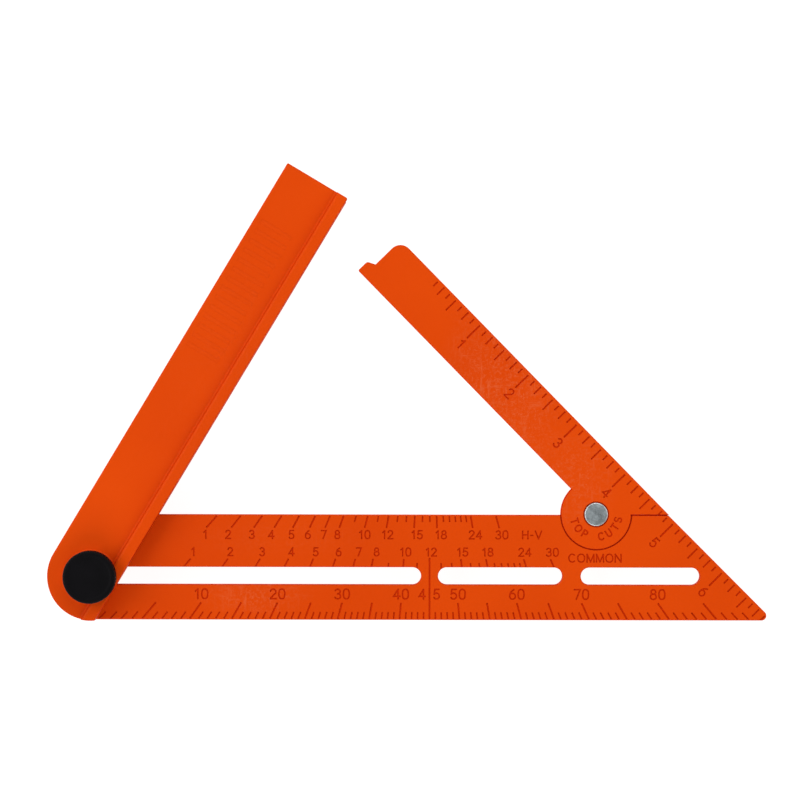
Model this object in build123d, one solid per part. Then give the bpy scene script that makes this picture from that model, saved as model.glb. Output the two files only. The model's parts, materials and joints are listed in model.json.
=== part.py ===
from build123d import *
import math
import os

# Folding 7-inch speed square: a slotted 45 degree base blade, a ruler leg that
# folds on a rivet at the base's outer end, and a two-bar fence that turns on a
# knob-clamped pivot and slides along the first slot.
#
# Working frame: origin at the fence pivot, x along the base towards its tip,
# y across the base, z = 0 at the middle of the blade's thickness.
# At the end every node is moved so that the origin is the bottom centre of the
# whole object's box.

# ------------------------------------------------------------------ driving dimensions (mm)
INCH = 25.4
BLADE_T = 5.0                      # thickness of the base blade and of the ruler leg
HALF_T = BLADE_T / 2

# base blade
BASE_BOTTOM = -16.1                # y of the protractor edge
BASE_TOP = 22.4                    # y of the edge that the folded leg lies along
LINE45 = 233.4                     # x + y of the outer 45 degree edge
TIP_R = 1.8                        # rounding of the sharp tip
SHOULDER_R = 0.9                   # rounding of the corner beside the leg's shoulder
END_R = 16.1                       # round end of the base and of the fence, about the pivot
SLOT_W = 6.4
SLOT1 = (-5.3, 120.4)              # x of the ends of the three slots
SLOT2 = (126.6, 172.2)
SLOT3 = (178.9, 222.6)

# rivet hinge between the base and the leg, a half-lap in the thickness
RIVET = (184.5, 22.7)
LAP_R = 12.75                      # half-thickness discs
LAP_POCKET_R = 13.15               # half-thickness pockets round them
LAP_GAP = 0.05                     # clearance between the two halves of the lap
RIVET_SHANK_R = 2.0
RIVET_RUN_R = 2.05                 # running hole in the leg
RIVET_HEAD_R = 4.32
RIVET_HEAD_T = 0.97
RIVET_CBORE_R = 4.7
RIVET_CBORE_Z = 1.75               # floor of the counterbore in the leg's disc
RIVET_BACK_R = 3.2
RIVET_BACK_Z = -2.7                # outer face of the formed head
WASHER_R = 5.5
WASHER_T = 0.5
WASHER_CBORE_R = 5.65
WASHER_CBORE_Z = -1.3              # floor of the counterbore in the base's ear

# ruler leg
LEG_REST_DEG = 134.4               # direction of the leg at rest, from +x
LEG_W = 18.95
LEG_LEN = 122.0                    # rivet to the end face
LEG_CORNER_R = 4.4
TAB_LEN = 2.9                      # latch tab past the end face
TAB_W = 4.6
SHOULDER_GAP = 0.15                # between the leg's shoulder and the base's top edge

# fence: two mirrored bars, one on each side of the blade
FENCE_REST_DEG = 59.15             # direction of the fence at rest, from +x
FENCE_GAP = 3.0                    # half of the space between the two bars
FENCE_FACE_Z = 8.0                 # outer face of the bar
RAIL_Z = 11.0                      # top of the raised rail
RAIL_V = -9.5                      # registering face, measured across the bar
BACK_RAIL_V = -8.6                 # the same face on the back bar, set back a little
RAIL_IN_V = -5.0                   # inner side of the raised rail
FENCE_V = 16.1                     # free long edge
FENCE_LEN = 166.2
END_STEP = (1.35, 0.45)            # small step in the registering face at the far end: length, depth
RAIL_ROUND = 1.1
RAIL_FILLET = 0.8
BOSS_R = 8.8                       # pivot boss, flush with the rail
BACK_BOSS_R = 8.4

# pivot hardware
BOLT_R = 2.5
BOLT_FLATS = 4.1                   # across the two flats above the blade
BOLT_FLATS_Z0 = 3.0
BOLT_TOP_Z = 15.8
BOLT_HEAD_R = 5.8
BOLT_HEAD_T = 2.2
BOLT_SEAT_Z = -8.6                 # underside of the head
NECK_W = 5.0                       # square neck
NECK_T = 3.4
BUSH_L = 10.0                      # oblong barrel in the slot
BUSH_W = 6.2
BUSH_FLANGE_R = 6.5
BUSH_BORE_R = 2.56
BUSH_FACE_Z = 2.97
KNOB_R = 9.56
KNOB_Z0 = 11.25
KNOB_Z1 = 17.2
KNOB_ROUND = 0.8
KNOB_WASHER_R = 7.5
KNOB_WASHER_Z = (11.02, 11.82)
INSERT_R = 3.9
INSERT_Z = (11.9, 16.2)
INSERT_BORE_R = 2.55

PHI = math.radians(FENCE_REST_DEG)
PSI = math.radians(LEG_REST_DEG)


def prism(points, z0, z1):
    """Upright prism on a closed polygon."""
    face = make_face(Polyline(*[(x, y, z0) for x, y in points], close=True))
    return extrude(face, amount=z1 - z0, dir=(0, 0, 1))


def disc(x, y, r, z0, z1):
    return Pos(x, y, (z0 + z1) / 2) * Cylinder(r, z1 - z0)


def slot(x0, x1, width, z0, z1):
    """Oblong with round ends, along x."""
    r = width / 2
    mid = Pos((x0 + x1) / 2, 0, (z0 + z1) / 2) * Box(x1 - x0 - width, width, z1 - z0)
    return mid + disc(x0 + r, 0, r, z0, z1) + disc(x1 - r, 0, r, z0, z1)


def vertical_edges_at(solid, x, y, tol=0.05):
    found = []
    for e in solid.edges().filter_by(Axis.Z):
        c = e.center()
        if abs(c.X - x) < tol and abs(c.Y - y) < tol:
            found.append(e)
    return found


def leg_point(w, q):
    """Point at w along the leg from the rivet and q from its inner edge."""
    return (RIVET[0] + w * math.cos(PSI) + q * math.sin(PSI),
            RIVET[1] + w * math.sin(PSI) - q * math.cos(PSI))


def in_leg(x, y):
    dx, dy = x - RIVET[0], y - RIVET[1]
    return (dx * math.cos(PSI) + dy * math.sin(PSI), dx * math.sin(PSI) - dy * math.cos(PSI))


# ------------------------------------------------------------------ base blade
s2 = math.sqrt(2)
base_outline = [
    (0, BASE_BOTTOM),
    (LINE45 - BASE_BOTTOM, BASE_BOTTOM),
    (LINE45 - BASE_TOP, BASE_TOP),
    (BASE_TOP - END_R * s2, BASE_TOP),
    (-END_R / s2, END_R / s2),
    (0, 0),
]
blade = prism(base_outline, -HALF_T, HALF_T) + disc(0, 0, END_R, -HALF_T, HALF_T)
blade = fillet(vertical_edges_at(blade, LINE45 - BASE_BOTTOM, BASE_BOTTOM), TIP_R)
blade = fillet(vertical_edges_at(blade, LINE45 - BASE_TOP, BASE_TOP), SHOULDER_R)
# back half of the lap: an ear round the rivet; front half: a pocket for the leg's disc
blade = blade + disc(*RIVET, LAP_R, -HALF_T, 0)
blade = blade - disc(*RIVET, LAP_POCKET_R, 0, HALF_T + 1)
for ends in (SLOT1, SLOT2, SLOT3):
    blade = blade - slot(ends[0], ends[1], SLOT_W, -HALF_T - 1, HALF_T + 1)
blade = blade - disc(*RIVET, RIVET_SHANK_R, -HALF_T - 1, 1)
blade = blade - disc(*RIVET, WASHER_CBORE_R, -HALF_T - 1, WASHER_CBORE_Z)

# ------------------------------------------------------------------ ruler leg
shoulder_y = BASE_TOP + SHOULDER_GAP
shoulder_in = in_leg(RIVET[0], shoulder_y)
# the shoulder line is horizontal at rest; find where it meets the outer edge
w_out = (shoulder_y - RIVET[1] + LEG_W * math.cos(PSI)) / math.sin(PSI)
leg_outline = [
    leg_point(0, 0),
    leg_point(LEG_LEN + TAB_LEN, 0),
    leg_point(LEG_LEN + TAB_LEN, TAB_W),
    leg_point(LEG_LEN, TAB_W + 1.5),
    leg_point(LEG_LEN, LEG_W),
    leg_point(w_out, LEG_W),
    (RIVET[0] + 0.5, shoulder_y),
]
leg = prism(leg_outline, -HALF_T, HALF_T)
leg = fillet(vertical_edges_at(leg, *leg_point(LEG_LEN, LEG_W)), LEG_CORNER_R)
leg = fillet(vertical_edges_at(leg, *leg_point(LEG_LEN + TAB_LEN, TAB_W)), 1.3)
leg = fillet(vertical_edges_at(leg, *leg_point(w_out, LEG_W)), 0.2)
# half-lap: a pocket behind for the base's ear, a disc in front
leg = leg - disc(*RIVET, LAP_POCKET_R, -HALF_T - 1, LAP_GAP)
leg = leg + disc(*RIVET, LAP_R, LAP_GAP, HALF_T)
leg = leg - disc(*RIVET, RIVET_RUN_R, -1, HALF_T + 1)
leg = leg - disc(*RIVET, RIVET_CBORE_R, RIVET_CBORE_Z, HALF_T + 1)

# ------------------------------------------------------------------ rivet and its washer
head_z0 = RIVET_CBORE_Z + 0.03
back_head_z1 = WASHER_CBORE_Z - WASHER_T
head = disc(*RIVET, RIVET_HEAD_R, head_z0, head_z0 + RIVET_HEAD_T)
head = chamfer(head.edges().group_by(Axis.Z)[-1], 0.25)
rivet = head + disc(*RIVET, RIVET_SHANK_R, back_head_z1 - 0.2, head_z0 + 0.2)
back_head = disc(*RIVET, RIVET_BACK_R, RIVET_BACK_Z, back_head_z1)
back_head = chamfer(back_head.edges().group_by(Axis.Z)[0], 0.3)
rivet = rivet + back_head
rivet_washer = (disc(*RIVET, WASHER_R, WASHER_CBORE_Z - WASHER_T, WASHER_CBORE_Z)
                - disc(*RIVET, RIVET_SHANK_R + 0.03, -5, 5))


# ------------------------------------------------------------------ fence bars
def fence_bar(z_face, z_rail, z_gap, rail_v, boss_r):
    """One bar, drawn along +x and then turned to its rest direction."""
    profile = [(rail_v, z_gap), (FENCE_V, z_gap), (FENCE_V, z_face), (RAIL_IN_V, z_face),
               (RAIL_IN_V, z_rail), (rail_v, z_rail)]
    u0 = -END_R - 1
    face = make_face(Polyline(*[(u0, v, z) for v, z in profile], close=True))
    bar = extrude(face, amount=FENCE_LEN - u0, dir=(1, 0, 0))
    inner = [e for e in bar.edges().filter_by(Axis.X)
             if abs(e.center().Y - RAIL_IN_V) < 0.01 and abs(e.center().Z - z_face) < 0.01]
    bar = fillet(inner, RAIL_FILLET)
    top = [e for e in bar.edges().filter_by(Axis.X)
           if abs(e.center().Y - RAIL_IN_V) < 0.01 and abs(e.center().Z - z_rail) < 0.01]
    bar = fillet(top, RAIL_ROUND)
    # round end about the pivot
    keep = (Pos(FENCE_LEN / 2 + 5, 0, 0) * Box(FENCE_LEN + 10, 4 * END_R, 40)
            + disc(0, 0, END_R, -20, 20))
    bar = bar & keep
    lo, hi = sorted((z_face, z_rail))
    boss = disc(0, 0, boss_r, lo - 0.5, hi) if z_rail > 0 else disc(0, 0, boss_r, lo, hi + 0.5)
    return bar + boss


def to_rest(shape):
    return Rot(0, 0, FENCE_REST_DEG) * shape


front_bar = fence_bar(FENCE_FACE_Z, RAIL_Z, FENCE_GAP, RAIL_V, BOSS_R)
front_bar = front_bar - (Pos(FENCE_LEN, RAIL_V, (FENCE_GAP + FENCE_FACE_Z) / 2)
                         * Box(2 * END_STEP[0], 2 * END_STEP[1], FENCE_FACE_Z - FENCE_GAP + 0.02))
double_d = disc(0, 0, BOLT_R + 0.05, 0, 20) & (Pos(0, 0, 10) * Box(20, BOLT_FLATS + 0.1, 20))
front_bar = front_bar - double_d
fence_front = to_rest(front_bar)

back_bar = fence_bar(-FENCE_FACE_Z, -RAIL_Z, -FENCE_GAP, BACK_RAIL_V, BACK_BOSS_R)
back_bar = back_bar - disc(0, 0, BOLT_HEAD_R + 0.15, -RAIL_Z - 1, BOLT_SEAT_Z)
back_bar = back_bar - Pos(0, 0, -7) * Box(NECK_W + 0.04, NECK_W + 0.04, 10)
fence_back = to_rest(back_bar)

# ------------------------------------------------------------------ pivot bolt, keyed to both bars
bolt_head = disc(0, 0, BOLT_HEAD_R, BOLT_SEAT_Z - BOLT_HEAD_T, BOLT_SEAT_Z)
bolt_head = fillet(bolt_head.edges().group_by(Axis.Z)[0], 0.9)
neck = Pos(0, 0, BOLT_SEAT_Z + NECK_T / 2) * Box(NECK_W, NECK_W, NECK_T)
shank = disc(0, 0, BOLT_R, BOLT_SEAT_Z, BOLT_FLATS_Z0)
key_end = (disc(0, 0, BOLT_R, BOLT_FLATS_Z0, BOLT_TOP_Z)
           & (Pos(0, 0, (BOLT_FLATS_Z0 + BOLT_TOP_Z) / 2)
              * Box(20, BOLT_FLATS, BOLT_TOP_Z - BOLT_FLATS_Z0)))
pivot_bolt = to_rest(bolt_head + neck + shank + key_end)


# ------------------------------------------------------------------ flanged bushes in the slot
def slide_bush(sign):
    z0, z1 = 0.03, HALF_T + 0.02
    barrel = slot(-BUSH_L / 2, BUSH_L / 2, BUSH_W, z0, z1)
    flange = disc(0, 0, BUSH_FLANGE_R, z1, BUSH_FACE_Z)
    bush = barrel + flange - disc(0, 0, BUSH_BORE_R, -1, 5)
    return bush if sign > 0 else mirror(bush, about=Plane.XY)


front_slide_bush = slide_bush(+1)
back_slide_bush = slide_bush(-1)

# ------------------------------------------------------------------ knob, its washer and insert
knob = disc(0, 0, KNOB_R, KNOB_Z0, KNOB_Z1)
knob = fillet(knob.edges().group_by(Axis.Z)[-1], KNOB_ROUND)
knob = knob - disc(0, 0, KNOB_WASHER_R + 0.2, KNOB_Z0 - 1, KNOB_WASHER_Z[1] + 0.04)
knob = knob - disc(0, 0, INSERT_R, KNOB_Z0 - 1, INSERT_Z[1])
knob_cap = knob
knob_washer = (disc(0, 0, KNOB_WASHER_R, *KNOB_WASHER_Z)
               - disc(0, 0, BOLT_R + 0.1, 5, 20))
knob_insert = disc(0, 0, INSERT_R, *INSERT_Z) - disc(0, 0, INSERT_BORE_R, 5, 20)

nodes = {
    "base_blade": blade,
    "leg_rivet": rivet,
    "rivet_washer": rivet_washer,
    "ruler_leg": leg,
    "front_slide_bush": front_slide_bush,
    "back_slide_bush": back_slide_bush,
    "fence_front": fence_front,
    "fence_back": fence_back,
    "pivot_bolt": pivot_bolt,
    "knob_washer": knob_washer,
    "knob_cap": knob_cap,
    "knob_insert": knob_insert,
}

# ------------------------------------------------------------------ move to the bottom centre of the box
x_lo = -END_R
x_hi = max(blade.bounding_box().max.X, -1e9)
y_lo = BASE_BOTTOM
y_hi = FENCE_LEN * math.sin(PHI) + FENCE_V * math.cos(PHI)
z_lo = -RAIL_Z
shift = (-(x_lo + x_hi) / 2, -(y_lo + y_hi) / 2, -z_lo)
print("shift", shift)
print("fence pivot", shift)
print("rivet", (RIVET[0] + shift[0], RIVET[1] + shift[1], shift[2]))

os.makedirs("parts", exist_ok=True)
for name, shape in nodes.items():
    placed = Pos(*shift) * shape
    solids = placed.solids()
    out = solids[0] if len(solids) == 1 else Compound(children=list(solids))
    out.label = name
    export_step(out, f"parts/{name}.step")
    print(name, len(solids), round(sum(s.volume for s in solids), 1))
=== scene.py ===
import json
import math

import bpy
import numpy as np
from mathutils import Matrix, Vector
from mathutils.geometry import tessellate_polygon


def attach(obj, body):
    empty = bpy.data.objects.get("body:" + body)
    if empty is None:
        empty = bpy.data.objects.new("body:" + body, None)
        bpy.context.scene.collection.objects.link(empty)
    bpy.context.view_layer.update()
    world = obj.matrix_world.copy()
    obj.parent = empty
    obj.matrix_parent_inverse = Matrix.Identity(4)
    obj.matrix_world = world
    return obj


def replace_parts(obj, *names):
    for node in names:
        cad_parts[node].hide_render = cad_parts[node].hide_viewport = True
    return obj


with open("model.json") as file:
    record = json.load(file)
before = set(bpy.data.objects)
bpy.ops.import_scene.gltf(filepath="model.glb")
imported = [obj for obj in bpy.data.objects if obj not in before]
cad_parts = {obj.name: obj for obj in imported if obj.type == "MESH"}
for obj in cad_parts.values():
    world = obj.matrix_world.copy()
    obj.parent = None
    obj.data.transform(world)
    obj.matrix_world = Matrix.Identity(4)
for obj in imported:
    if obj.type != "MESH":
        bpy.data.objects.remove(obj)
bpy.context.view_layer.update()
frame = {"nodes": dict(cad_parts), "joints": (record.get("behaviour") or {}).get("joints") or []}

# ------------------------------------------------------------------ places taken from the frame
JOINTS = {j["name"]: j for j in frame["joints"]}
P0 = Vector(JOINTS["fence_turn"]["pos_m"])            # fence pivot, middle of the blade's thickness
R_ABS = Vector(JOINTS["leg_fold"]["pos_m"])
RV = ((R_ABS.x - P0.x) * 1000, (R_ABS.y - P0.y) * 1000)   # rivet, mm from the pivot
PHI = -math.radians(JOINTS["fence_turn"]["range_deg"][0])
PSI = math.radians(180 - JOINTS["leg_fold"]["range_deg"][1])

# ------------------------------------------------------------------ sizes in mm, x along the base, y across it
INCH = 25.4
HALF_T = 2.5
BOT, TOP, LINE45, END_R = -16.1, 22.4, 233.4, 16.1
SLOT_R = 3.2
SLOTS = ((-5.3, 120.4), (126.6, 172.2), (178.9, 222.6))
LAP_R, POCKET_R = 12.75, 13.15
LEG_W, LEG_LEN = 18.95, 122.0
RAIL_V, BACK_RAIL_V, RAIL_IN, FENCE_V, FENCE_LEN = -9.5, -8.6, -5.0, 16.1, 166.2
GAP, FACE_Z, RAIL_Z = 3.0, 8.0, 11.0
APEX = (123.5, 109.65)                                 # where all the scales' rays meet
ZERO = (249.3, -15.9)                                  # seventh inch on the 45 degree edge


# ------------------------------------------------------------------ 2D loops
def arc(cx, cy, r, a0, a1, step=5.0, ry=None):
    n = max(2, int(math.ceil(abs(a1 - a0) / step)))
    ry = r if ry is None else ry
    return [(cx + r * math.cos(math.radians(a0 + (a1 - a0) * i / n)),
             cy + ry * math.sin(math.radians(a0 + (a1 - a0) * i / n))) for i in range(n + 1)]


def rounded(points):
    """Closed loop from (x, y, corner radius)."""
    out = []
    n = len(points)
    for i, (x, y, r) in enumerate(points):
        if r <= 0:
            out.append((x, y))
            continue
        p = Vector((x, y))
        a = (Vector(points[i - 1][:2]) - p).normalized()
        b = (Vector(points[(i + 1) % n][:2]) - p).normalized()
        half = math.acos(max(-1, min(1, a.dot(b)))) / 2
        d = r / math.tan(half)
        c = p + (a + b).normalized() * (r / math.sin(half))
        s, e = p + a * d - c, p + b * d - c
        a0 = math.degrees(math.atan2(s.y, s.x))
        a1 = math.degrees(math.atan2(e.y, e.x))
        turn = (a1 - a0 + 540) % 360 - 180
        out += arc(c.x, c.y, r, a0, a0 + turn, 9.0)
    return out


def slot_loop(x0, x1, r):
    """Hole, clockwise."""
    pts = arc(x0 + r, 0, r, 90, 270, 7.5) + arc(x1 - r, 0, r, -90, 90, 7.5)
    return pts[::-1]


def circle(cx, cy, r, n=96):
    return [(cx + r * math.cos(2 * math.pi * i / n), cy + r * math.sin(2 * math.pi * i / n)) for i in range(n)]


def clean(loop):
    out = []
    for p in loop:
        if not out or math.dist(p, out[-1]) > 1e-4:
            out.append(p)
    if math.dist(out[0], out[-1]) < 1e-4:
        out.pop()
    return out


def inset(loop, d):
    n = len(loop)
    out = []
    for i in range(n):
        p, q, r = loop[i - 1], loop[i], loop[(i + 1) % n]
        e1 = (q[0] - p[0], q[1] - p[1])
        e2 = (r[0] - q[0], r[1] - q[1])
        l1, l2 = math.hypot(*e1), math.hypot(*e2)
        n1 = (-e1[1] / l1, e1[0] / l1)
        n2 = (-e2[1] / l2, e2[0] / l2)
        k = 1 + n1[0] * n2[0] + n1[1] * n2[1]
        k = max(k, 0.15)
        out.append((q[0] + d * (n1[0] + n2[0]) / k, q[1] + d * (n1[1] + n2[1]) / k))
    return out


# ------------------------------------------------------------------ solids
def make(name, verts, faces):
    me = bpy.data.meshes.new(name)
    me.from_pydata([tuple(v) for v in verts], [], faces)
    me.validate()
    ob = bpy.data.objects.new(name, me)
    bpy.context.scene.collection.objects.link(ob)
    return ob


def edge_stack(z0, z1, r0, r1, n=4):
    """(inset, z) rows from the bottom face to the top face, with rounded edges."""
    rows = []
    if r0 > 0:
        for i in range(n + 1):
            a = math.pi / 2 * i / n
            rows.append((r0 * (1 - math.sin(a)), z0 + r0 * (1 - math.cos(a))))
    else:
        rows.append((0, z0))
    if r1 > 0:
        for i in range(n + 1):
            a = math.pi / 2 * i / n
            rows.append((r1 * (1 - math.cos(a)), z1 - r1 * (1 - math.sin(a))))
    else:
        rows.append((0, z1))
    return rows


def plate(name, loops, rows):
    """Closed plate: loops are the outline (counter-clockwise) and its holes (clockwise)."""
    loops = [clean(l) for l in loops]
    verts, faces, base = [], [], []
    for loop in loops:
        start = len(verts)
        base.append(start)
        n = len(loop)
        for d, z in rows:
            verts += [(x, y, z) for x, y in (inset(loop, d) if d else loop)]
        for k in range(len(rows) - 1):
            a, b = start + k * n, start + (k + 1) * n
            for i in range(n):
                j = (i + 1) % n
                faces.append((a + i, a + j, b + j, b + i))
    for row, up in ((0, False), (len(rows) - 1, True)):
        polys, index = [], []
        for loop, start in zip(loops, base):
            n = len(loop)
            ids = [start + row * n + i for i in range(n)]
            polys.append([Vector(verts[i]) for i in ids])
            index += ids
        for t in tessellate_polygon(polys):
            a, b, c = (index[i] for i in t)
            va, vb, vc = Vector(verts[a]), Vector(verts[b]), Vector(verts[c])
            nz = (vb - va).cross(vc - va).z
            faces.append((a, b, c) if (nz > 0) == up else (a, c, b))
    ob = make(name, verts, faces)
    fix_normals(ob)
    return ob


def lathe(name, profile, cx, cy, n=96, radius=None):
    """Closed turned solid. profile runs from the axis at the bottom round the outside to the axis at the top,
    or is a closed ring of (r, z). radius(r, z, angle) may change a point's radius."""
    verts, faces = [], []
    on_axis = [abs(r) < 1e-9 for r, z in profile]
    closed = not any(on_axis)
    rings = []
    for (r, z), pole in zip(profile, on_axis):
        if pole:
            rings.append([len(verts)])
            verts.append((cx, cy, z))
        else:
            ring = []
            for i in range(n):
                a = 2 * math.pi * i / n
                rr = radius(r, z, a) if radius else r
                ring.append(len(verts))
                verts.append((cx + rr * math.cos(a), cy + rr * math.sin(a), z))
            rings.append(ring)
    pairs = list(zip(rings, rings[1:]))
    if closed:
        pairs.append((rings[-1], rings[0]))
    for a, b in pairs:
        for i in range(n):
            j = (i + 1) % n
            if len(a) == 1:
                faces.append((a[0], b[j], b[i]))
            elif len(b) == 1:
                faces.append((a[i], a[j], b[0]))
            else:
                faces.append((a[i], a[j], b[j], b[i]))
    return make(name, verts, faces)


def strip_prism(name, section, start, direction, length):
    """Prism: section is (across, z) counter-clockwise seen against the direction; direction is a 2D unit vector."""
    dx, dy = direction
    nx, ny = -dy, dx
    n = len(section)
    verts = []
    for t in (0, length):
        for s, z in section:
            verts.append((start[0] + dx * t + nx * s, start[1] + dy * t + ny * s, z))
    faces = [tuple(range(n))[::-1], tuple(range(n, 2 * n))]
    for i in range(n):
        j = (i + 1) % n
        faces.append((i, j, n + j, n + i))
    ob = make(name, verts, faces)
    fix_normals(ob)
    return ob


def fix_normals(ob):
    import bmesh
    bm = bmesh.new()
    bm.from_mesh(ob.data)
    bmesh.ops.recalc_face_normals(bm, faces=bm.faces)
    bm.to_mesh(ob.data)
    bm.free()


def evaluated(ob):
    dg = bpy.context.evaluated_depsgraph_get()
    dg.update()
    me = bpy.data.meshes.new_from_object(ob.evaluated_get(dg), depsgraph=dg)
    ob.modifiers.clear()
    old = ob.data
    ob.data = me
    bpy.data.meshes.remove(old)
    return ob


def combine(ob, other, operation):
    m = ob.modifiers.new("b", "BOOLEAN")
    m.object = other
    m.operation = operation
    m.solver = "MANIFOLD"
    before = len(ob.data.polygons)
    evaluated(ob)
    me = other.data
    bpy.data.objects.remove(other)
    bpy.data.meshes.remove(me)
    if len(ob.data.polygons) == 0:
        raise RuntimeError(f"{operation} emptied {ob.name} ({before} faces before)")
    return ob


def open_edges(ob):
    count = {}
    for p in ob.data.polygons:
        for k in p.edge_keys:
            count[k] = count.get(k, 0) + 1
    return sum(1 for v in count.values() if v != 2)


# ------------------------------------------------------------------ engraved strokes
def ribbon(points, width, depth, z_top, closed=False, draft=0.1, over=0.12, ends=0.0):
    """(vertices, faces) of one closed groove cutter along a polyline."""
    pts = [Vector(p) for p in points]
    if not closed and ends:
        pts[0] = pts[0] - (pts[1] - pts[0]).normalized() * ends
        pts[-1] = pts[-1] + (pts[-1] - pts[-2]).normalized() * ends
    n = len(pts)
    w1 = width / 2 + draft * over / depth
    w0 = width / 2 - draft
    verts = []
    for i, p in enumerate(pts):
        if closed:
            a, b = p - pts[i - 1], pts[(i + 1) % n] - p
        else:
            a = p - pts[i - 1] if i else pts[1] - p
            b = pts[i + 1] - p if i < n - 1 else a
        a, b = a.normalized(), b.normalized()
        n1, n2 = Vector((-a.y, a.x)), Vector((-b.y, b.x))
        k = max(1 + n1.dot(n2), 0.35)
        m = (n1 + n2) / k
        lo = p.copy()
        if not closed and i == 0:
            lo = p + b * draft
        if not closed and i == n - 1:
            lo = p - a * draft
        up, dn = z_top + over, z_top - depth
        verts += [(*(p + m * w1), up), (*(p - m * w1), up), (*(lo - m * w0), dn), (*(lo + m * w0), dn)]
    faces = []
    for i in range(n if closed else n - 1):
        j = (i + 1) % n
        for k in range(4):
            q = (k + 1) % 4
            faces.append((4 * i + k, 4 * i + q, 4 * j + q, 4 * j + k))
    if not closed:
        e = 4 * (n - 1)
        faces += [(3, 2, 1, 0), (e, e + 1, e + 2, e + 3)]
    return verts, faces, [tuple(p) for p in pts] + ([tuple(pts[0])] if closed else []), width


def ell(cx, cy, rx, ry, a0, a1, step=15.0):
    return arc(cx, cy, rx, a0, a1, step, ry)


def loop(cx, cy, rx, ry, power=2.3, n=28):
    out = []
    for i in range(n):
        a = 2 * math.pi * i / n
        c, s = math.cos(a), math.sin(a)
        out.append((cx + rx * math.copysign(abs(c) ** (2 / power), c),
                    cy + ry * math.copysign(abs(s) ** (2 / power), s)))
    return out


# name: (advance width, [(closed, points)]), in a box one unit high, on the stroke's centre line
GLYPHS = {
    "0": (0.58, [(True, loop(0.29, 0.5, 0.27, 0.5, 2.5))]),
    "1": (0.42, [(False, [(0.28, 0.0), (0.28, 1.0)]), (False, [(0.06, 0.76), (0.25, 0.95)])]),
    "2": (0.58, [(False, ell(0.28, 0.73, 0.25, 0.27, 170, -35) + [(0.03, 0.03)]), (False, [(0.02, 0.0), (0.57, 0.0)])]),
    "3": (0.56, [(False, ell(0.26, 0.755, 0.23, 0.245, 155, -90)), (False, ell(0.26, 0.265, 0.27, 0.265, 90, -155))]),
    "4": (0.60, [(False, [(0.42, 0.98), (0.02, 0.27), (0.60, 0.27)]), (False, [(0.43, 1.0), (0.43, 0.0)])]),
    "5": (0.57, [(False, [(0.52, 1.0), (0.12, 1.0), (0.06, 0.50)]), (False, ell(0.27, 0.31, 0.27, 0.31, 140, -150))]),
    "6": (0.57, [(True, loop(0.29, 0.3, 0.26, 0.30, 2.2)), (False, ell(0.58, 0.36, 0.55, 0.64, 108, 178))]),
    "7": (0.55, [(False, [(0.02, 1.0), (0.55, 1.0), (0.20, 0.0)])]),
    "8": (0.57, [(True, loop(0.285, 0.27, 0.26, 0.27, 2.2)), (True, loop(0.285, 0.765, 0.21, 0.235, 2.2))]),
    "C": (0.74, [(False, ell(0.38, 0.5, 0.36, 0.5, 48, 312))]),
    "O": (0.78, [(True, loop(0.39, 0.5, 0.37, 0.5, 2.15, 32))]),
    "M": (0.80, [(False, [(0.03, 0.0), (0.03, 1.0)]), (False, [(0.05, 0.98), (0.40, 0.02)]),
                 (False, [(0.40, 0.02), (0.75, 0.98)]), (False, [(0.77, 1.0), (0.77, 0.0)])]),
    "N": (0.68, [(False, [(0.03, 0.0), (0.03, 1.0)]), (False, [(0.05, 0.98), (0.63, 0.02)]), (False, [(0.65, 0.0), (0.65, 1.0)])]),
    "H": (0.66, [(False, [(0.03, 0.0), (0.03, 1.0)]), (False, [(0.03, 0.5), (0.63, 0.5)]), (False, [(0.63, 0.0), (0.63, 1.0)])]),
    "V": (0.70, [(False, [(0.0, 1.0), (0.35, 0.0)]), (False, [(0.35, 0.0), (0.70, 1.0)])]),
    "T": (0.60, [(False, [(0.0, 1.0), (0.60, 1.0)]), (False, [(0.30, 1.0), (0.30, 0.0)])]),
    "P": (0.60, [(False, [(0.03, 0.0), (0.03, 1.0)]),
                 (False, [(0.03, 1.0), (0.30, 1.0)] + ell(0.32, 0.74, 0.26, 0.26, 80, -80) + [(0.30, 0.48), (0.03, 0.48)])]),
    "U": (0.66, [(False, [(0.03, 1.0)] + ell(0.33, 0.32, 0.30, 0.32, 180, 360) + [(0.63, 1.0)])]),
    "S": (0.60, [(False, ell(0.30, 0.755, 0.26, 0.245, 35, 270) + ell(0.30, 0.255, 0.28, 0.255, 90, -145)[1:])]),
    "-": (0.34, [(False, [(0.05, 0.45), (0.29, 0.45)])]),
}


def text(cutters, string, centre, height, z_top, up=(0, 1), stroke=0.46, depth=0.34, track=0.24, squeeze=1.0):
    """Adds a string's groove cutters, its middle at centre."""
    ux, uy = up
    rx, ry = uy, -ux
    h = height - stroke
    widths = [GLYPHS[c][0] * squeeze for c in string]
    total = (sum(widths) + track * (len(string) - 1)) * h
    x = -total / 2
    for c, w in zip(string, widths):
        for closed, pts in GLYPHS[c][1]:
            placed = []
            for px, py in pts:
                a, b = x + px * squeeze * h, (py - 0.5) * h
                placed.append((centre[0] + rx * a + ux * b, centre[1] + ry * a + uy * b))
            cutters.append(ribbon(placed, stroke, depth, z_top, closed, draft=0.09, ends=0 if closed else stroke * 0.42))
        x += (w + track) * h


def tick(cutters, a, b, z_top, width=0.52, depth=0.36):
    cutters.append(ribbon([a, b], width, depth, z_top))


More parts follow.
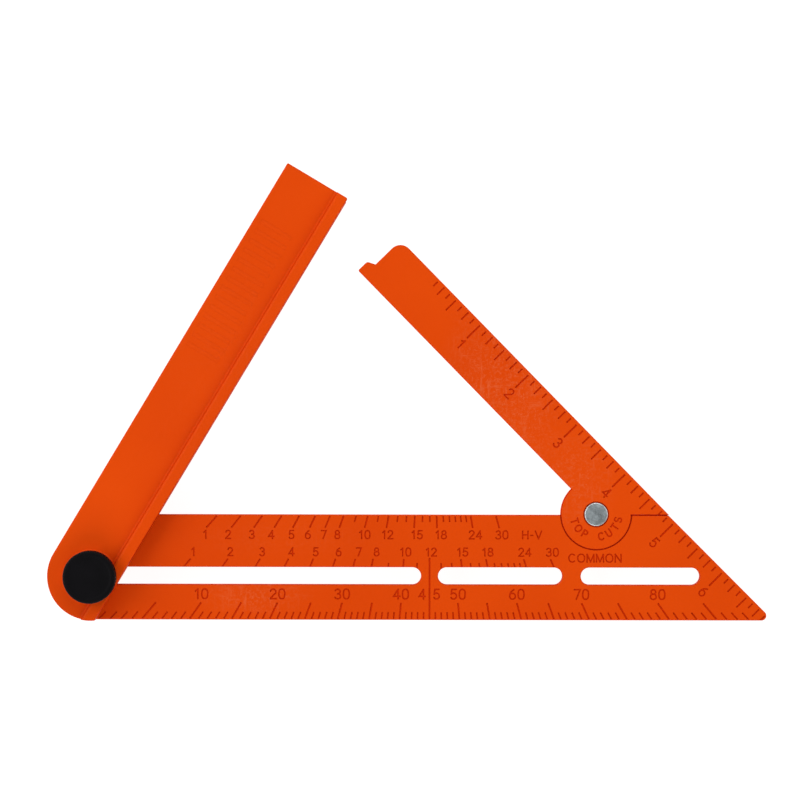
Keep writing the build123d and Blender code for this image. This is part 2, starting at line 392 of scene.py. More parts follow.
def seg_dist(p, q, r, s):
    """Smallest distance between two 2D segments, near enough for keeping cutters apart."""
    def cross(o, a, b):
        return (a[0] - o[0]) * (b[1] - o[1]) - (a[1] - o[1]) * (b[0] - o[0])
    if cross(p, q, r) * cross(p, q, s) < 0 and cross(r, s, p) * cross(r, s, q) < 0:
        return 0.0

    def pd(a, b, c):
        ab = (b[0] - a[0], b[1] - a[1])
        l2 = ab[0] ** 2 + ab[1] ** 2
        t = 0 if l2 == 0 else max(0, min(1, ((c[0] - a[0]) * ab[0] + (c[1] - a[1]) * ab[1]) / l2))
        return math.hypot(a[0] + t * ab[0] - c[0], a[1] + t * ab[1] - c[1])
    return min(pd(p, q, r), pd(p, q, s), pd(r, s, p), pd(r, s, q))


def engrave(ob, cutters):
    """Cuts the grooves in a few passes, so that no two cutters in one pass touch."""
    boxes = []
    for v, f, line, w in cutters:
        xs, ys = [p[0] for p in line], [p[1] for p in line]
        boxes.append((min(xs) - w, min(ys) - w, max(xs) + w, max(ys) + w))
    colour = []
    for i, (v, f, line, w) in enumerate(cutters):
        used = set()
        for j in range(i):
            a, b = boxes[i], boxes[j]
            if a[2] < b[0] or b[2] < a[0] or a[3] < b[1] or b[3] < a[1]:
                continue
            other = cutters[j][2]
            near = min(seg_dist(line[k], line[k + 1], other[m], other[m + 1])
                       for k in range(len(line) - 1) for m in range(len(other) - 1))
            if near < (w + cutters[j][3]) / 2 + 0.12:
                used.add(colour[j])
        c = 0
        while c in used:
            c += 1
        colour.append(c)
    for c in range(max(colour) + 1):
        verts, faces = [], []
        for i, (v, f, line, w) in enumerate(cutters):
            if colour[i] == c:
                base = len(verts)
                verts += v
                faces += [tuple(base + k for k in face) for face in f]
        cut = make("cut", verts, faces)
        fix_normals(cut)
        combine(ob, cut, "DIFFERENCE")
    return ob


def finish_mesh(ob, angle=32.0):
    """Smooth rounded edges, flat faces, and the mesh moved from millimetres at the pivot to metres in the frame."""
    me = ob.data
    co = np.zeros(len(me.vertices) * 3)
    me.vertices.foreach_get("co", co)
    co = co.reshape(-1, 3) / 1000 + np.array(P0)
    me.vertices.foreach_set("co", co.ravel())
    me.update()
    me.shade_smooth()
    me.set_sharp_from_angle(angle=math.radians(angle))
    m = ob.modifiers.new("w", "WEIGHTED_NORMAL")
    m.mode = "FACE_AREA"
    m.weight = 100
    m.keep_sharp = True
    evaluated(ob)
    return ob


def turned(ob, angle):
    c, s = math.cos(angle), math.sin(angle)
    co = np.zeros(len(ob.data.vertices) * 3)
    ob.data.vertices.foreach_get("co", co)
    co = co.reshape(-1, 3)
    xy = co[:, :2] @ np.array([[c, s], [-s, c]])
    co[:, :2] = xy
    ob.data.vertices.foreach_set("co", co.ravel())
    ob.data.update()
    return ob


# ------------------------------------------------------------------ base blade
def build_base():
    s2 = math.sqrt(2)
    outline = rounded([
        (LINE45 - BOT, BOT, 1.8),
        (LINE45 - TOP, TOP, 0.9),
        (TOP - END_R * s2, TOP, 0.6),
    ] + [(x, y, 0) for x, y in arc(0, 0, END_R, 135, 270, 4.0)])
    ob = plate("base_plate", [outline] + [slot_loop(a, b, SLOT_R) for a, b in SLOTS],
               edge_stack(-HALF_T, HALF_T, 0.4, 0.4))
    ear = plate("ear", [circle(*RV, LAP_R, 120)], edge_stack(-HALF_T, 0.4, 0.4, 0))
    combine(ob, ear, "UNION")
    pocket = lathe("pocket", [(0, 0.0), (POCKET_R, 0.0), (POCKET_R, HALF_T - 0.12), (POCKET_R + 0.18, HALF_T + 0.06),
                              (POCKET_R + 0.18, HALF_T + 1), (0, HALF_T + 1)], *RV, n=144)
    combine(ob, pocket, "DIFFERENCE")
    bore = lathe("bore", [(0, -HALF_T - 1), (5.65, -HALF_T - 1), (5.65, -1.3), (2.0, -1.3), (2.0, 1), (0, 1)], *RV, n=64)
    combine(ob, bore, "DIFFERENCE")

    cutters = []

    def ray(theta, y):
        return APEX[0] + (APEX[1] - y) * math.tan(math.radians(theta - 45)), y

    # degree scale along the bottom edge
    for d in range(1, 89):
        if d == 45:
            continue
        y1 = -9.8 if d % 5 == 0 else -13.2
        tick(cutters, ray(d, y1), ray(d, -15.72), HALF_T, width=0.64 if d % 5 == 0 else 0.56)
    tick(cutters, (APEX[0], 6.7), (APEX[0], -15.72), HALF_T, width=0.66)
    for d in (10, 20, 30, 40, 50, 60, 70, 80):
        x, y = ray(d, -9.71)
        text(cutters, str(d), (x, -6.63), 4.1, HALF_T, stroke=0.56, squeeze=1.12)
    text(cutters, "4", (120.8, -6.63), 4.1, HALF_T, stroke=0.56, squeeze=1.08)
    text(cutters, "5", (126.1, -6.63), 4.1, HALF_T, stroke=0.56, squeeze=1.08)
    # hip and valley scale along the top edge, common rafter scale along the slots
    labelled = (1, 2, 3, 4, 5, 6, 7, 8, 10, 12, 15, 18, 24, 30)
    hv_x = (41.3, 49.7, 58.4, 65.5, 72.9, 78.9, 84.7, 89.7, 99.7, 108.1, 118.9, 127.7, 140.3, 150.0)
    co_x = (36.9, 50.5, 62.2, 72.9, 81.8, 90.2, 97.6, 104.1, 114.7, 124.1, 135.6, 144.8, 158.4, 168.5)
    for r in list(range(1, 25)) + [30]:
        hv = math.degrees(math.atan(r / 16.97))
        tick(cutters, ray(hv, 17.6 if r in labelled else 19.8), ray(hv, 21.97), HALF_T,
             width=0.62 if r in labelled else 0.54)
        if r == 12:
            continue
        co = math.degrees(math.atan(r / 12))
        tick(cutters, ray(co, 6.25 if r in labelled else 4.8), ray(co, 2.6), HALF_T,
             width=0.62 if r in labelled else 0.54)
    for r, x in zip(labelled, hv_x):
        text(cutters, str(r), (x, 15.13), 3.45, HALF_T, stroke=0.5, squeeze=1.12)
    for r, x in zip(labelled, co_x):
        text(cutters, str(r), (x, 8.8), 3.4, HALF_T, stroke=0.5, squeeze=1.12)
    text(cutters, "H-V", (161.0, 15.13), 3.35, HALF_T, stroke=0.5, track=0.26, squeeze=1.15)
    text(cutters, "COMMON", (184.1, 6.67), 3.4, HALF_T, stroke=0.5, track=0.25, squeeze=1.18)
    # inch scale along the 45 degree edge
    out = (1 / s2, 1 / s2)
    for k8 in range(39, 56):
        s = 7 * INCH - k8 * INCH / 8
        e = (ZERO[0] - s / s2, ZERO[1] + s / s2)
        d0, d1 = inch_mark(k8)
        tick(cutters, (e[0] - out[0] * d1, e[1] - out[1] * d1), (e[0] - out[0] * d0, e[1] - out[1] * d0), HALF_T,
             width=0.66 if k8 % 8 == 0 else 0.58)
        if k8 % 8 == 0:
            text(cutters, str(k8 // 8), (e[0] - out[0] * 10.7, e[1] - out[1] * 10.7), 4.1, HALF_T, up=out, stroke=0.56, squeeze=1.08)
    engrave(ob, cutters)
    return ob


def inch_mark(k8):
    if k8 % 8 == 0:
        return 1.14, 7.75
    if k8 % 4 == 0:
        return 1.1, 6.2
    if k8 % 2 == 0:
        return 0.75, 4.5
    return 1.0, 3.3


# ------------------------------------------------------------------ ruler leg
def leg_pt(w, q):
    return (RV[0] + w * math.cos(PSI) + q * math.sin(PSI), RV[1] + w * math.sin(PSI) - q * math.cos(PSI))


def build_leg():
    sh = TOP + 0.1
    w_out = (sh - RV[1] + LEG_W * math.cos(PSI)) / math.sin(PSI)
    raw = [(*leg_pt(0, 0), 0), ((RV[0] + 0.5), sh, 0), (*leg_pt(w_out, LEG_W), 0), (*leg_pt(LEG_LEN, LEG_W), 4.4),
           (*leg_pt(LEG_LEN, 6.1), 0.35), (*leg_pt(LEG_LEN + 2.9, 4.6), 1.3), (*leg_pt(LEG_LEN + 2.9, 0), 0.5)]
    ob = plate("ruler_arm", [rounded(raw)], edge_stack(-HALF_T, HALF_T, 0.4, 0.4))
    disc = plate("disc", [circle(*RV, LAP_R, 120)], edge_stack(-0.4, HALF_T, 0, 0.22))
    combine(ob, disc, "UNION")
    ledge = plate("ledge", [circle(*RV, POCKET_R - 0.07, 120)], edge_stack(-0.38, HALF_T - 0.42, 0, 0))
    combine(ob, ledge, "UNION")
    pocket = lathe("pocket", [(0, -HALF_T - 1), (POCKET_R, -HALF_T - 1), (POCKET_R, 0.05), (0, 0.05)], *RV, n=144)
    combine(ob, pocket, "DIFFERENCE")
    bore = lathe("bore", [(0, -1), (2.05, -1), (2.05, 1.75), (4.7, 1.75), (4.7, HALF_T - 0.1), (4.95, HALF_T + 0.1),
                          (4.95, HALF_T + 1), (0, HALF_T + 1)], *RV, n=96)
    combine(ob, bore, "DIFFERENCE")
    cutters = []
    along = (math.cos(PSI), math.sin(PSI))
    out = (math.sin(PSI), -math.cos(PSI))
    s2 = math.sqrt(2)
    w_zero = 7 * INCH - ((ZERO[0] - RV[0]) + (RV[1] - ZERO[1])) / s2
    for k8 in range(1, 39):
        w = w_zero - k8 * INCH / 8
        d0, d1 = inch_mark(k8)
        tick(cutters, leg_pt(w, LEG_W - d1), leg_pt(w, LEG_W - d0), HALF_T, width=0.66 if k8 % 8 == 0 else 0.58)
        if k8 % 8 == 0:
            text(cutters, str(k8 // 8), leg_pt(w, LEG_W - 10.7), 4.1, HALF_T, up=out, stroke=0.56, squeeze=1.08)
    for c, a in zip("TOPCUTS", (197.5, 218.5, 240.0, 283.2, 304.3, 326.5, 346.1)):
        ca, sa = math.cos(math.radians(a)), math.sin(math.radians(a))
        text(cutters, c, (RV[0] + 8.25 * ca, RV[1] + 8.25 * sa), 3.1, HALF_T, up=(-ca, -sa), stroke=0.56, depth=0.3,
             squeeze=1.08)
    engrave(ob, cutters)
    return ob


# ------------------------------------------------------------------ fence bars
def clip_v(loop, vmax):
    out = []
    n = len(loop)
    for i in range(n):
        p, q = loop[i], loop[(i + 1) % n]
        if p[1] <= vmax:
            out.append(p)
        if (p[1] <= vmax) != (q[1] <= vmax):
            t = (vmax - p[1]) / (q[1] - p[1])
            out.append((p[0] + t * (q[0] - p[0]), vmax))
    return out


def build_bar(name, front):
    rail_v = RAIL_V if front else BACK_RAIL_V
    boss_r = 8.8 if front else 8.4
    a_rail = math.degrees(math.asin(-rail_v / END_R))
    outline = rounded([(FENCE_LEN, rail_v, 0.55), (FENCE_LEN, FENCE_V, 0.55)]
                      + [(x, y, 0) for x, y in arc(0, 0, END_R, 90, 180 + a_rail, 4.0)])
    bar = plate(name, [outline], edge_stack(GAP, FACE_Z, 0.3, 0.4))
    rail = plate("rail", [clip_v(outline, RAIL_IN)], edge_stack(4.0, RAIL_Z, 0, 0.45, 5))
    # broad rounding along the rail's inner top edge
    section = [(RAIL_IN - 1.1, RAIL_Z + 0.2), (RAIL_IN - 1.1, RAIL_Z)]
    for i in range(1, 8):
        a = math.pi / 2 * i / 8
        section.append((RAIL_IN - 1.1 + 1.1 * math.sin(a), RAIL_Z - 1.1 + 1.1 * math.cos(a)))
    section += [(RAIL_IN, RAIL_Z - 1.1), (RAIL_IN + 0.3, RAIL_Z - 1.1), (RAIL_IN + 0.3, RAIL_Z + 0.2)]
    combine(rail, strip_prism("top", section, (-20.0, 0.0), (1, 0), FENCE_LEN + 25), "DIFFERENCE")
    combine(bar, rail, "UNION")
    # concave fillet at the foot of the rail
    r = 0.9
    section = [(RAIL_IN - 0.5, FACE_Z - 0.5), (RAIL_IN + r, FACE_Z - 0.5), (RAIL_IN + r, FACE_Z + 0.012)]
    for i in range(1, 8):
        a = math.pi / 2 * i / 8
        section.append((RAIL_IN + r - r * math.sin(a), FACE_Z + r - r * math.cos(a)))
    section += [(RAIL_IN + 0.0, FACE_Z + r), (RAIL_IN - 0.5, FACE_Z + r)]
    combine(bar, strip_prism("fil", section, (-14.6, 0.0), (1, 0), FENCE_LEN - 0.55 + 14.6), "UNION")
    boss = plate("boss", [circle(0, 0, boss_r, 96)], edge_stack(FACE_Z - 1, RAIL_Z, 0, 0.4))
    combine(bar, boss, "UNION")
    foot = lathe("foot", [(0, FACE_Z - 0.6), (boss_r + 1.1, FACE_Z - 0.6), (boss_r + 1.1, FACE_Z + 0.012)]
                 + [(boss_r - 0.05 + 1.15 - 1.15 * math.sin(a), FACE_Z + 1.15 - 1.15 * math.cos(a)) for a in
                    [math.pi / 2 * i / 6 for i in range(1, 6)]]
                 + [(boss_r - 0.1, FACE_Z + 1.15), (0, FACE_Z + 1.15)], 0, 0, 96)
    # the foot stays inside the registering face
    trim = plate("trim", [[(-20, rail_v + 0.6), (20, rail_v + 0.6), (20, 20), (-20, 20)]], [(0, 0), (0, 20)])
    combine(foot, trim, "INTERSECT")
    combine(bar, foot, "UNION")
    if front:
        bore = lathe("bore", [(0, 0), (2.55, 0), (2.55, 20), (0, 20)], 0, 0, 48)
        flats = plate("flats", [[(-20, -2.1), (20, -2.1), (20, 2.1), (-20, 2.1)]], [(0, -1), (0, 21)])
        combine(bore, flats, "INTERSECT")
        combine(bar, bore, "DIFFERENCE")
        step = plate("step", [[(FENCE_LEN - 1.35, rail_v - 1), (FENCE_LEN + 1, rail_v - 1), (FENCE_LEN + 1, rail_v + 0.45),
                               (FENCE_LEN - 1.35, rail_v + 0.45)]], [(0, GAP - 1), (0, FACE_Z)])
        combine(bar, step, "DIFFERENCE")
    else:
        bore = lathe("bore", [(0, 0), (2.55, 0), (2.55, 8.55), (5.95, 8.6), (5.95, 10.8), (6.3, 11.1), (6.3, 12), (0, 12)],
                     0, 0, 96)
        combine(bar, bore, "DIFFERENCE")
        neck = plate("neck", [[(2.52, -2.52), (2.52, 2.52), (-2.52, 2.52), (-2.52, -2.52)]], [(0, 0), (0, 9.5)])
        combine(bar, neck, "DIFFERENCE")
    # low grip ribs across the face
    verts, faces = [], []
    for i in range(14):
        u = 91.0 + 4.0 * i
        v0, v1 = 0.4, 13.8
        b, t = 0.95, 0.45
        base = len(verts)
        lo, hi = FACE_Z - 0.4, FACE_Z + 0.3
        k = (b - t) * (0.4 / 0.3)
        verts += [(u - b - k, v0 - k, lo), (u + b + k, v0 - k, lo), (u + b + k, v1 + k, lo), (u - b - k, v1 + k, lo),
                  (u - t, v0 + b - t, hi), (u + t, v0 + b - t, hi), (u + t, v1 - b + t, hi), (u - t, v1 - b + t, hi)]
        faces += [tuple(base + q for q in f) for f in
                  [(3, 2, 1, 0), (4, 5, 6, 7), (0, 1, 5, 4), (1, 2, 6, 5), (2, 3, 7, 6), (3, 0, 4, 7)]]
    ribs = make("ribs", verts, faces)
    fix_normals(ribs)
    combine(bar, ribs, "UNION")
    if not front:
        me = bar.data
        co = np.zeros(len(me.vertices) * 3)
        me.vertices.foreach_get("co", co)
        co = co.reshape(-1, 3)
        co[:, 2] *= -1
        me.vertices.foreach_set("co", co.ravel())
        me.flip_normals()
    turned(bar, PHI)
    return bar


# ------------------------------------------------------------------ knob and rivet
def build_knob():
    R, z0, z1 = 9.56, 11.25, 17.2
    profile = [(7.7, z0), (R - 0.35, z0)]
    profile += [(R - 0.35 + 0.35 * math.sin(a), z0 + 0.35 - 0.35 * math.cos(a)) for a in [math.pi / 2 * i / 4 for i in range(1, 5)]]
    band = [11.75, 12.05, 13.0, 14.0, 15.0, 15.5, 15.8]
    profile += [(R, z) for z in band]
    profile += [(R, z1 - 0.8)]
    profile += [(R - 0.8 + 0.8 * math.cos(a), z1 - 0.8 + 0.8 * math.sin(a)) for a in [math.pi / 2 * i / 7 for i in range(1, 8)]]
    profile += [(8.2, z1), (7.9, z1 - 0.04), (7.6, z1 - 0.12), (7.2, z1 - 0.16), (4.0, z1 - 0.17), (0, z1 - 0.17)]
    under = [(0, 16.2), (3.92, 16.2), (3.92, 11.86), (7.7, 11.86)]
    full = under + profile

    def radius(r, z, a):
        if r > 9.4 and 11.9 < z < 15.7:
            return r - 0.17 * (1 - math.cos(48 * a))
        return r
    return lathe("clamp_knob", full, 0, 0, n=384, radius=radius)


def build_rivet():
    z0 = 1.78
    zt = z0 + 0.97
    head = [(0, -2.7), (2.5, -2.7), (2.8, -2.66), (3.02, -2.56), (3.15, -2.4), (3.2, -2.2), (3.2, -1.8), (2.0, -1.8), (2.0, z0),
            (4.2, z0), (4.32, z0 + 0.12), (4.32, zt - 0.5)]
    head += [(3.87 + 0.45 * math.cos(a), zt - 0.5 + 0.5 * math.sin(a)) for a in [math.pi / 2 * i / 8 for i in range(1, 9)]]
    head += [(3.6, zt - 0.02), (2.2, zt - 0.06), (1.0, zt - 0.07), (0, zt - 0.07)]
    return lathe("rivet_body", head, *RV, n=128)


base_plate = finish_mesh(build_base())
ruler_arm = finish_mesh(build_leg())
bar_front = finish_mesh(build_bar("fence_bar_front", True))
bar_back = finish_mesh(build_bar("fence_bar_back", False))
knob = finish_mesh(build_knob(), 40)
rivet = finish_mesh(build_rivet(), 40)
for ob in (base_plate, ruler_arm, bar_front, bar_back, knob, rivet):
    print(ob.name, "faces", len(ob.data.polygons), "open edges", open_edges(ob))

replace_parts(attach(base_plate, "base"), "base_blade")
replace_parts(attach(ruler_arm, "leg"), "ruler_leg")
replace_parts(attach(bar_front, "fence"), "fence_front")
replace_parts(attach(bar_back, "fence"), "fence_back")
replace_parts(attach(knob, "knob"), "knob_cap")
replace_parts(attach(rivet, "base"), "leg_rivet")


# ------------------------------------------------------------------ materials
class Nodes:
    def __init__(self, name):
        self.mat = bpy.data.materials.new(name)
        self.mat.use_nodes = True
        self.t = self.mat.node_tree
        self.t.nodes.clear()
        self.out = self.t.nodes.new("ShaderNodeOutputMaterial")
        self.bsdf = self.t.nodes.new("ShaderNodeBsdfPrincipled")
        self.t.links.new(self.bsdf.outputs[0], self.out.inputs[0])
        self.coord = self.t.nodes.new("ShaderNodeTexCoord").outputs["Object"]

    def node(self, kind, **values):
        n = self.t.nodes.new(kind)
        for k, v in values.items():
            if hasattr(n, k) and k not in [i.name for i in n.inputs]:
                setattr(n, k, v)
        return n

    def link(self, a, b):
        self.t.links.new(a, b)

    def mapped(self, scale=(1, 1, 1), rot=(0, 0, 0), loc=(0, 0, 0)):
        n = self.t.nodes.new("ShaderNodeMapping")
        n.inputs["Location"].default_value = loc
        n.inputs["Rotation"].default_value = rot
        n.inputs["Scale"].default_value = scale
        self.link(self.coord, n.inputs["Vector"])
        return n.outputs[0]

    def noise(self, vector, scale, detail=3.0, rough=0.5):
        n = self.t.nodes.new("ShaderNodeTexNoise")
        n.inputs["Scale"].default_value = scale
        n.inputs["Detail"].default_value = detail
        n.inputs["Roughness"].default_value = rough
        self.link(vector, n.inputs["Vector"])
        return n.outputs["Fac"]

    def ramp(self, fac, stops):
        n = self.t.nodes.new("ShaderNodeValToRGB")
        e = n.color_ramp.elements
        e[0].position, e[0].color = stops[0][0], (*stops[0][1], 1)
        e[1].position, e[1].color = stops[-1][0], (*stops[-1][1], 1)
        for p, c in stops[1:-1]:
            x = e.new(p)
            x.color = (*c, 1)
        self.link(fac, n.inputs["Fac"])
        return n.outputs["Color"]

    def rng(self, fac, a, b, c, d):
        n = self.t.nodes.new("ShaderNodeMapRange")
        n.inputs["From Min"].default_value = a
        n.inputs["From Max"].default_value = b
        n.inputs["To Min"].default_value = c
        n.inputs["To Max"].default_value = d
        self.link(fac, n.inputs["Value"])
        return n.outputs["Result"]

    def math(self, op, a, b):
        n = self.t.nodes.new("ShaderNodeMath")
        n.operation = op
        for i, x in enumerate((a, b)):
            if isinstance(x, (int, float)):
                n.inputs[i].default_value = x
            else:
                self.link(x, n.inputs[i])
        n.use_clamp = False
        return n.outputs[0]

    def mix(self, fac, a, b):
        n = self.t.nodes.new("ShaderNodeMix")
        n.data_type = "RGBA"
        if isinstance(fac, (int, float)):
            n.inputs["Factor"].default_value = fac
        else:
            self.link(fac, n.inputs["Factor"])
        for i, x in zip((6, 7), (a, b)):
            if isinstance(x, tuple):
                n.inputs[i].default_value = (*x, 1)
            else:
                self.link(x, n.inputs[i])
        return n.outputs[2]

    def bump(self, height, strength, distance, normal=None):
        n = self.t.nodes.new("ShaderNodeBump")
        n.inputs["Strength"].default_value = strength
        n.inputs["Distance"].default_value = distance
        self.link(height, n.inputs["Height"])
        if normal is not None:
            self.link(normal, n.inputs["Normal"])
        return n.outputs[0]


def bsdf_set(b, **values):
    for k, v in values.items():
        b.inputs[k.replace("_", " ")].default_value = v


def spot(m, centre, radius, soft):
    """1 inside an ellipse of the surface (metres in the frame), 0 outside."""
    g = m.t.nodes.new("ShaderNodeVectorMath")
    g.operation = "SUBTRACT"
    m.link(m.coord, g.inputs[0])
    g.inputs[1].default_value = centre
    s = m.t.nodes.new("ShaderNodeVectorMath")
    s.operation = "MULTIPLY"
    m.link(g.outputs[0], s.inputs[0])
    s.inputs[1].default_value = tuple(1 / r for r in radius)
    l = m.t.nodes.new("ShaderNodeVectorMath")
    l.operation = "LENGTH"
    m.link(s.outputs[0], l.inputs[0])
    return m.rng(l.outputs["Value"], 1 + soft, 1 - soft, 0, 1)


# the last flag turns on painted shade in the engraved grooves and in the lap and shoulder seams
def orange(name, scuffs=(), tone=1.0, shade_recesses=False):
    m = Nodes(name)
    c = m.coord
    broad = m.noise(m.mapped((1, 1, 1)), 18, 2, 0.5)
    fine = m.noise(m.mapped((1, 1, 1)), 900, 3, 0.6)
    base = m.mix(m.rng(broad, 0.35, 0.65, 0, 1), (0.735 * tone, 0.0605 * tone, 0.0006), (0.785 * tone, 0.0695 * tone, 0.0009))
    # pale scuffed haze: crossed fine scratches, kept to the worn places
    haze = None
    for centre, radius, amount in scuffs:
        area = spot(m, centre, radius, 0.45)
        part = m.math("MULTIPLY", area, amount)
        haze = part if haze is None else m.math("MAXIMUM", haze, part)
    scratch = m.noise(m.mapped((760, 110, 760), (0, 0, math.radians(40))), 1.0, 4, 0.75)
    scratch2 = m.noise(m.mapped((110, 700, 700), (0, 0, math.radians(-12))), 1.0, 4, 0.75)
    both = m.math("MAXIMUM", m.rng(scratch, 0.56, 0.72, 0, 1), m.rng(scratch2, 0.57, 0.74, 0, 1))
    speck = m.rng(m.noise(m.mapped((1, 1, 1)), 1150, 4, 0.8), 0.5, 0.72, 0, 1)
    both = m.math("MAXIMUM", both, speck)
    if haze is not None:
        amount = m.math("MULTIPLY", haze, both)
        base = m.mix(amount, base, (0.82, 0.20, 0.075))
        rough = m.math("ADD", m.rng(fine, 0.3, 0.7, 0.42, 0.54), m.math("MULTIPLY", amount, 0.25))
    else:
        rough = m.rng(fine, 0.3, 0.7, 0.42, 0.54)
    # painted shade: the engraved groove floors are coloured darker, standing in for the shade down in the grooves
    if shade_recesses:
        base = m.mix(groove_mask(m, P0.z + HALF_T / 1000), base, (0.71 * tone, 0.039 * tone, 0.0004))
    # painted shade: steep faces (side walls, rounded edges, groove walls) are coloured a darker red orange than the
    # flat faces, standing in for the shade that falls on them; the same mask lowers their specular level
    geo = m.t.nodes.new("ShaderNodeNewGeometry")
    nz = m.t.nodes.new("ShaderNodeSeparateXYZ")
    m.link(geo.outputs["True Normal"], nz.inputs[0])
    side = m.rng(m.math("ABSOLUTE", nz.outputs["Z"], 0), 0.35, 0.9, 1, 0)
    base = m.mix(side, base, (0.59 * tone, 0.034 * tone, 0.0004))
    # painted shade: the lap and shoulder seams are coloured a deep dark red, standing in for the shadow down in the
    # narrow gaps
    if shade_recesses:
        base = m.mix(seam_mask(m), base, (0.54 * tone, 0.014 * tone, 0.0003))
    m.link(base, m.bsdf.inputs["Base Color"])
    m.link(rough, m.bsdf.inputs["Roughness"])
    grain = m.bump(fine, 0.06, 0.00004)
    wavy = m.bump(m.noise(m.mapped((1, 1, 1)), 60, 2, 0.5), 0.05, 0.0002, grain)
    m.link(wavy, m.bsdf.inputs["Normal"])
    m.link(m.rng(side, 0, 1, 0.07, 0.015), m.bsdf.inputs["Specular IOR Level"])
    bsdf_set(m.bsdf, IOR=1.49)
    return m.mat


def groove_mask(m, top):
    """1 on the floors of the engraved grooves, just under the marked face, where a darker colour is painted in as the
    shade down in the grooves.
    """
    xyz = m.t.nodes.new("ShaderNodeSeparateXYZ")
    m.link(m.coord, xyz.inputs[0])
    low = m.rng(xyz.outputs["Z"], top - 0.00012, top - 0.00020, 0, 1)
    deep = m.rng(xyz.outputs["Z"], top - 0.00055, top - 0.00045, 0, 1)
    geo = m.t.nodes.new("ShaderNodeNewGeometry")
    nz = m.t.nodes.new("ShaderNodeSeparateXYZ")
    m.link(geo.outputs["True Normal"], nz.inputs[0])
    flat = m.rng(nz.outputs["Z"], 0.8, 0.95, 0, 1)
    return m.math("MULTIPLY", m.math("MULTIPLY", low, deep), flat)


def seam_mask(m):
    """1 down in the round lap seam and along the straight shoulder seam, where a deep dark red is painted in as the
    shadow in the narrow gaps.
    """
    rel = m.t.nodes.new("ShaderNodeVectorMath")
    rel.operation = "SUBTRACT"
    m.link(m.coord, rel.inputs[0])
    rel.inputs[1].default_value = at(RV[0], RV[1])
    xyz = m.t.nodes.new("ShaderNodeSeparateXYZ")
    m.link(rel.outputs[0], xyz.inputs[0])
    x, y, z = (xyz.outputs[k] for k in "XYZ")
    flat = m.t.nodes.new("ShaderNodeCombineXYZ")
    m.link(x, flat.inputs[0])
    m.link(y, flat.inputs[1])
    size = m.t.nodes.new("ShaderNodeVectorMath")
    size.operation = "LENGTH"
    m.link(flat.outputs[0], size.inputs[0])
    r = size.outputs["Value"]
    ring = m.math("MULTIPLY", m.rng(r, 0.01268, 0.01274, 0, 1), m.rng(r, 0.01336, 0.01326, 0, 1))
    ring = m.math("MULTIPLY", ring, m.rng(z, -0.00006, -0.00016, 0, 1))
    mid = (TOP + 0.05 - RV[1]) / 1000
    ring = m.math("MULTIPLY", ring, m.rng(y, mid + 0.0004, mid + 0.0001, 0, 1))
    line = m.math("MULTIPLY", m.rng(y, mid - 0.00036, mid - 0.00024, 0, 1), m.rng(y, mid + 0.00036, mid + 0.00024, 0, 1))
    line = m.math("MULTIPLY", line, m.rng(x, 0.0124, 0.0127, 0, 1))
    return m.math("MAXIMUM", ring, line)


def black_plastic():
    m = Nodes("black_moulded")
    fine = m.noise(m.mapped(), 1600, 3, 0.65)
    base = m.ramp(m.noise(m.mapped(), 120, 3, 0.5), [(0.35, (0.0018, 0.0015, 0.0021)), (0.65, (0.0030, 0.0026, 0.0036))])
    m.link(base, m.bsdf.inputs["Base Color"])
    m.link(m.rng(fine, 0.3, 0.7, 0.48, 0.62), m.bsdf.inputs["Roughness"])
    m.link(m.bump(fine, 0.25, 0.00005), m.bsdf.inputs["Normal"])
    bsdf_set(m.bsdf, Specular_IOR_Level=0.085)
    return m.mat


def metal(name, colour, rough=(0.28, 0.42), turned_marks=None, scale=700):
    m = Nodes(name)
    grain = m.noise(m.mapped(), scale, 4, 0.7)
    dull = m.noise(m.mapped(), 260, 3, 0.6)
    dark = tuple(x * 0.78 for x in colour)
    m.link(m.mix(m.rng(dull, 0.35, 0.65, 0, 1), dark, colour), m.bsdf.inputs["Base Color"])
    m.link(m.rng(grain, 0.3, 0.7, *rough), m.bsdf.inputs["Roughness"])
    m.link(m.bump(grain, 0.2, 0.00004), m.bsdf.inputs["Normal"])
    bsdf_set(m.bsdf, Metallic=1.0)
    return m.mat


def nylon():
    m = Nodes("natural_nylon")
    fine = m.noise(m.mapped(), 500, 3, 0.6)
    m.link(m.ramp(fine, [(0.3, (0.70, 0.68, 0.62)), (0.7, (0.78, 0.76, 0.70))]), m.bsdf.inputs["Base Color"])
    m.link(m.rng(fine, 0.3, 0.7, 0.4, 0.55), m.bsdf.inputs["Roughness"])
    m.link(m.bump(fine, 0.1, 0.00004), m.bsdf.inputs["Normal"])
    bsdf_set(m.bsdf, Subsurface_Weight=0.1, Subsurface_Scale=0.002)
    return m.mat


def at(x, y, z=HALF_T):
    return (P0.x + x / 1000, P0.y + y / 1000, P0.z + z / 1000)


mat_base = orange("orange_base", [(at(59, -7), (0.016, 0.006, 0.01), 0.4), (at(70, 14), (0.03, 0.005, 0.01), 0.1)], 0.975, True)
mat_leg = orange("orange_leg", [(at(150, 62), (0.017, 0.04, 0.03), 0.5), (at(176, 35), (0.012, 0.014, 0.01), 0.4)], 0.99, True)
mat_fence = orange("orange_fence", [(at(60, 60, 8), (0.03, 0.05, 0.02), 0.06)], 1.0)
mat_black = black_plastic()
mat_zinc = metal("zinc_plate", (0.60, 0.62, 0.63))
mat_rivet = metal("rivet_zinc", (0.74, 0.83, 0.86), (0.32, 0.48), scale=420)
mat_brass = metal("turned_brass", (0.78, 0.55, 0.22), (0.2, 0.35))
mat_nylon = nylon()


def paint(ob, mat):
    if not ob.material_slots:
        ob.data.materials.append(mat)
    for s in ob.material_slots:
        s.material = mat


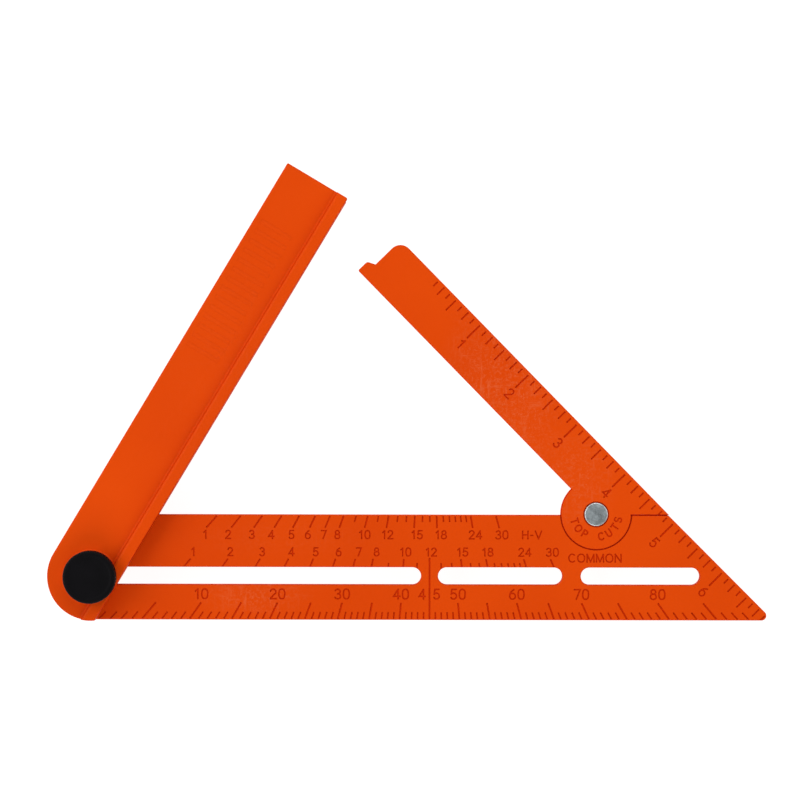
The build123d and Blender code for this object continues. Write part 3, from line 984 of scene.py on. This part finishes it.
for ob, mat in ((base_plate, mat_base), (ruler_arm, mat_leg), (bar_front, mat_fence), (bar_back, mat_fence),
                (knob, mat_black), (rivet, mat_rivet)):
    ob.data.materials.clear()
    paint(ob, mat)
for node, mat in (("rivet_washer", mat_zinc), ("pivot_bolt", mat_zinc), ("knob_washer", mat_zinc),
                  ("knob_insert", mat_brass), ("front_slide_bush", mat_nylon), ("back_slide_bush", mat_nylon)):
    paint(frame["nodes"][node], mat)

# ------------------------------------------------------------------ floor, light, camera
floor_me = bpy.data.meshes.new("floor")
floor_me.from_pydata([(-3, -3, 0), (3, -3, 0), (3, 3, 0), (-3, 3, 0)], [], [(0, 1, 2, 3)])
floor = bpy.data.objects.new("floor", floor_me)
bpy.context.scene.collection.objects.link(floor)
fm = Nodes("pale_floor")
grain = fm.noise(fm.mapped(), 40, 3, 0.5)
fm.link(fm.ramp(grain, [(0.3, (0.27, 0.27, 0.27)), (0.7, (0.29, 0.29, 0.29))]), fm.bsdf.inputs["Base Color"])
bsdf_set(fm.bsdf, Roughness=0.9, Specular_IOR_Level=0.1, Emission_Color=(1, 1, 1, 1), Emission_Strength=0.93)
floor_me.materials.append(fm.mat)

scene = bpy.context.scene
world = bpy.data.worlds.new("studio")
scene.world = world
world.use_nodes = True
bg = world.node_tree.nodes["Background"]
# a soft dome, bright all round and dim overhead
wt = world.node_tree
direction = wt.nodes.new("ShaderNodeTexCoord").outputs["Generated"]
split = wt.nodes.new("ShaderNodeSeparateXYZ")
wt.links.new(direction, split.inputs[0])
dome = wt.nodes.new("ShaderNodeValToRGB")
e = dome.color_ramp.elements
e[0].position, e[0].color = 0.0, (1, 1, 1, 1)
e[1].position, e[1].color = 0.95, (0.04, 0.04, 0.04, 1)
for p, c in ((0.68, 1.0), (0.84, 0.22)):
    x = e.new(p)
    x.color = (c, c, c, 1)
wt.links.new(split.outputs["Z"], dome.inputs["Fac"])
wt.links.new(dome.outputs["Color"], bg.inputs["Color"])
bg.inputs["Strength"].default_value = 0.54

CENTRE = Vector(at(112.55, 64.48, 0))


def area(name, direction, distance, size, power):
    light = bpy.data.lights.new(name, "AREA")
    light.shape = "SQUARE"
    light.size = size
    light.energy = power
    ob = bpy.data.objects.new(name, light)
    scene.collection.objects.link(ob)
    d = Vector(direction).normalized()
    ob.location = CENTRE + d * distance
    ob.rotation_euler = (-d).to_track_quat("-Z", "Y").to_euler()
    return ob


area("soft_left", (-1.0, 0.15, 0.9), 1.6, 1.2, 11)
area("soft_back", (0.1, 1.0, 0.9), 1.6, 1.2, 7.5)
area("soft_right", (1.0, 0.1, 0.8), 1.6, 1.2, 4.5)
area("soft_front", (-0.1, -1.0, 0.8), 1.6, 1.2, 7)

cam_data = bpy.data.cameras.new("camera")
cam = bpy.data.objects.new("camera", cam_data)
scene.collection.objects.link(cam)
scene.camera = cam
DIST = 1.2
cam_data.sensor_width = 36
cam_data.lens = 36 * DIST / (800 * 0.36631 / 1000)
cam_data.clip_start = 0.01
cam_data.clip_end = 20
cam.location = (CENTRE.x, CENTRE.y, P0.z + HALF_T / 1000 + DIST)
cam.rotation_euler = (0, 0, math.radians(0.11))
scene.view_settings.view_transform = "Standard"
scene.view_settings.look = "None"
scene.view_settings.exposure = 0
scene.view_settings.gamma = 1
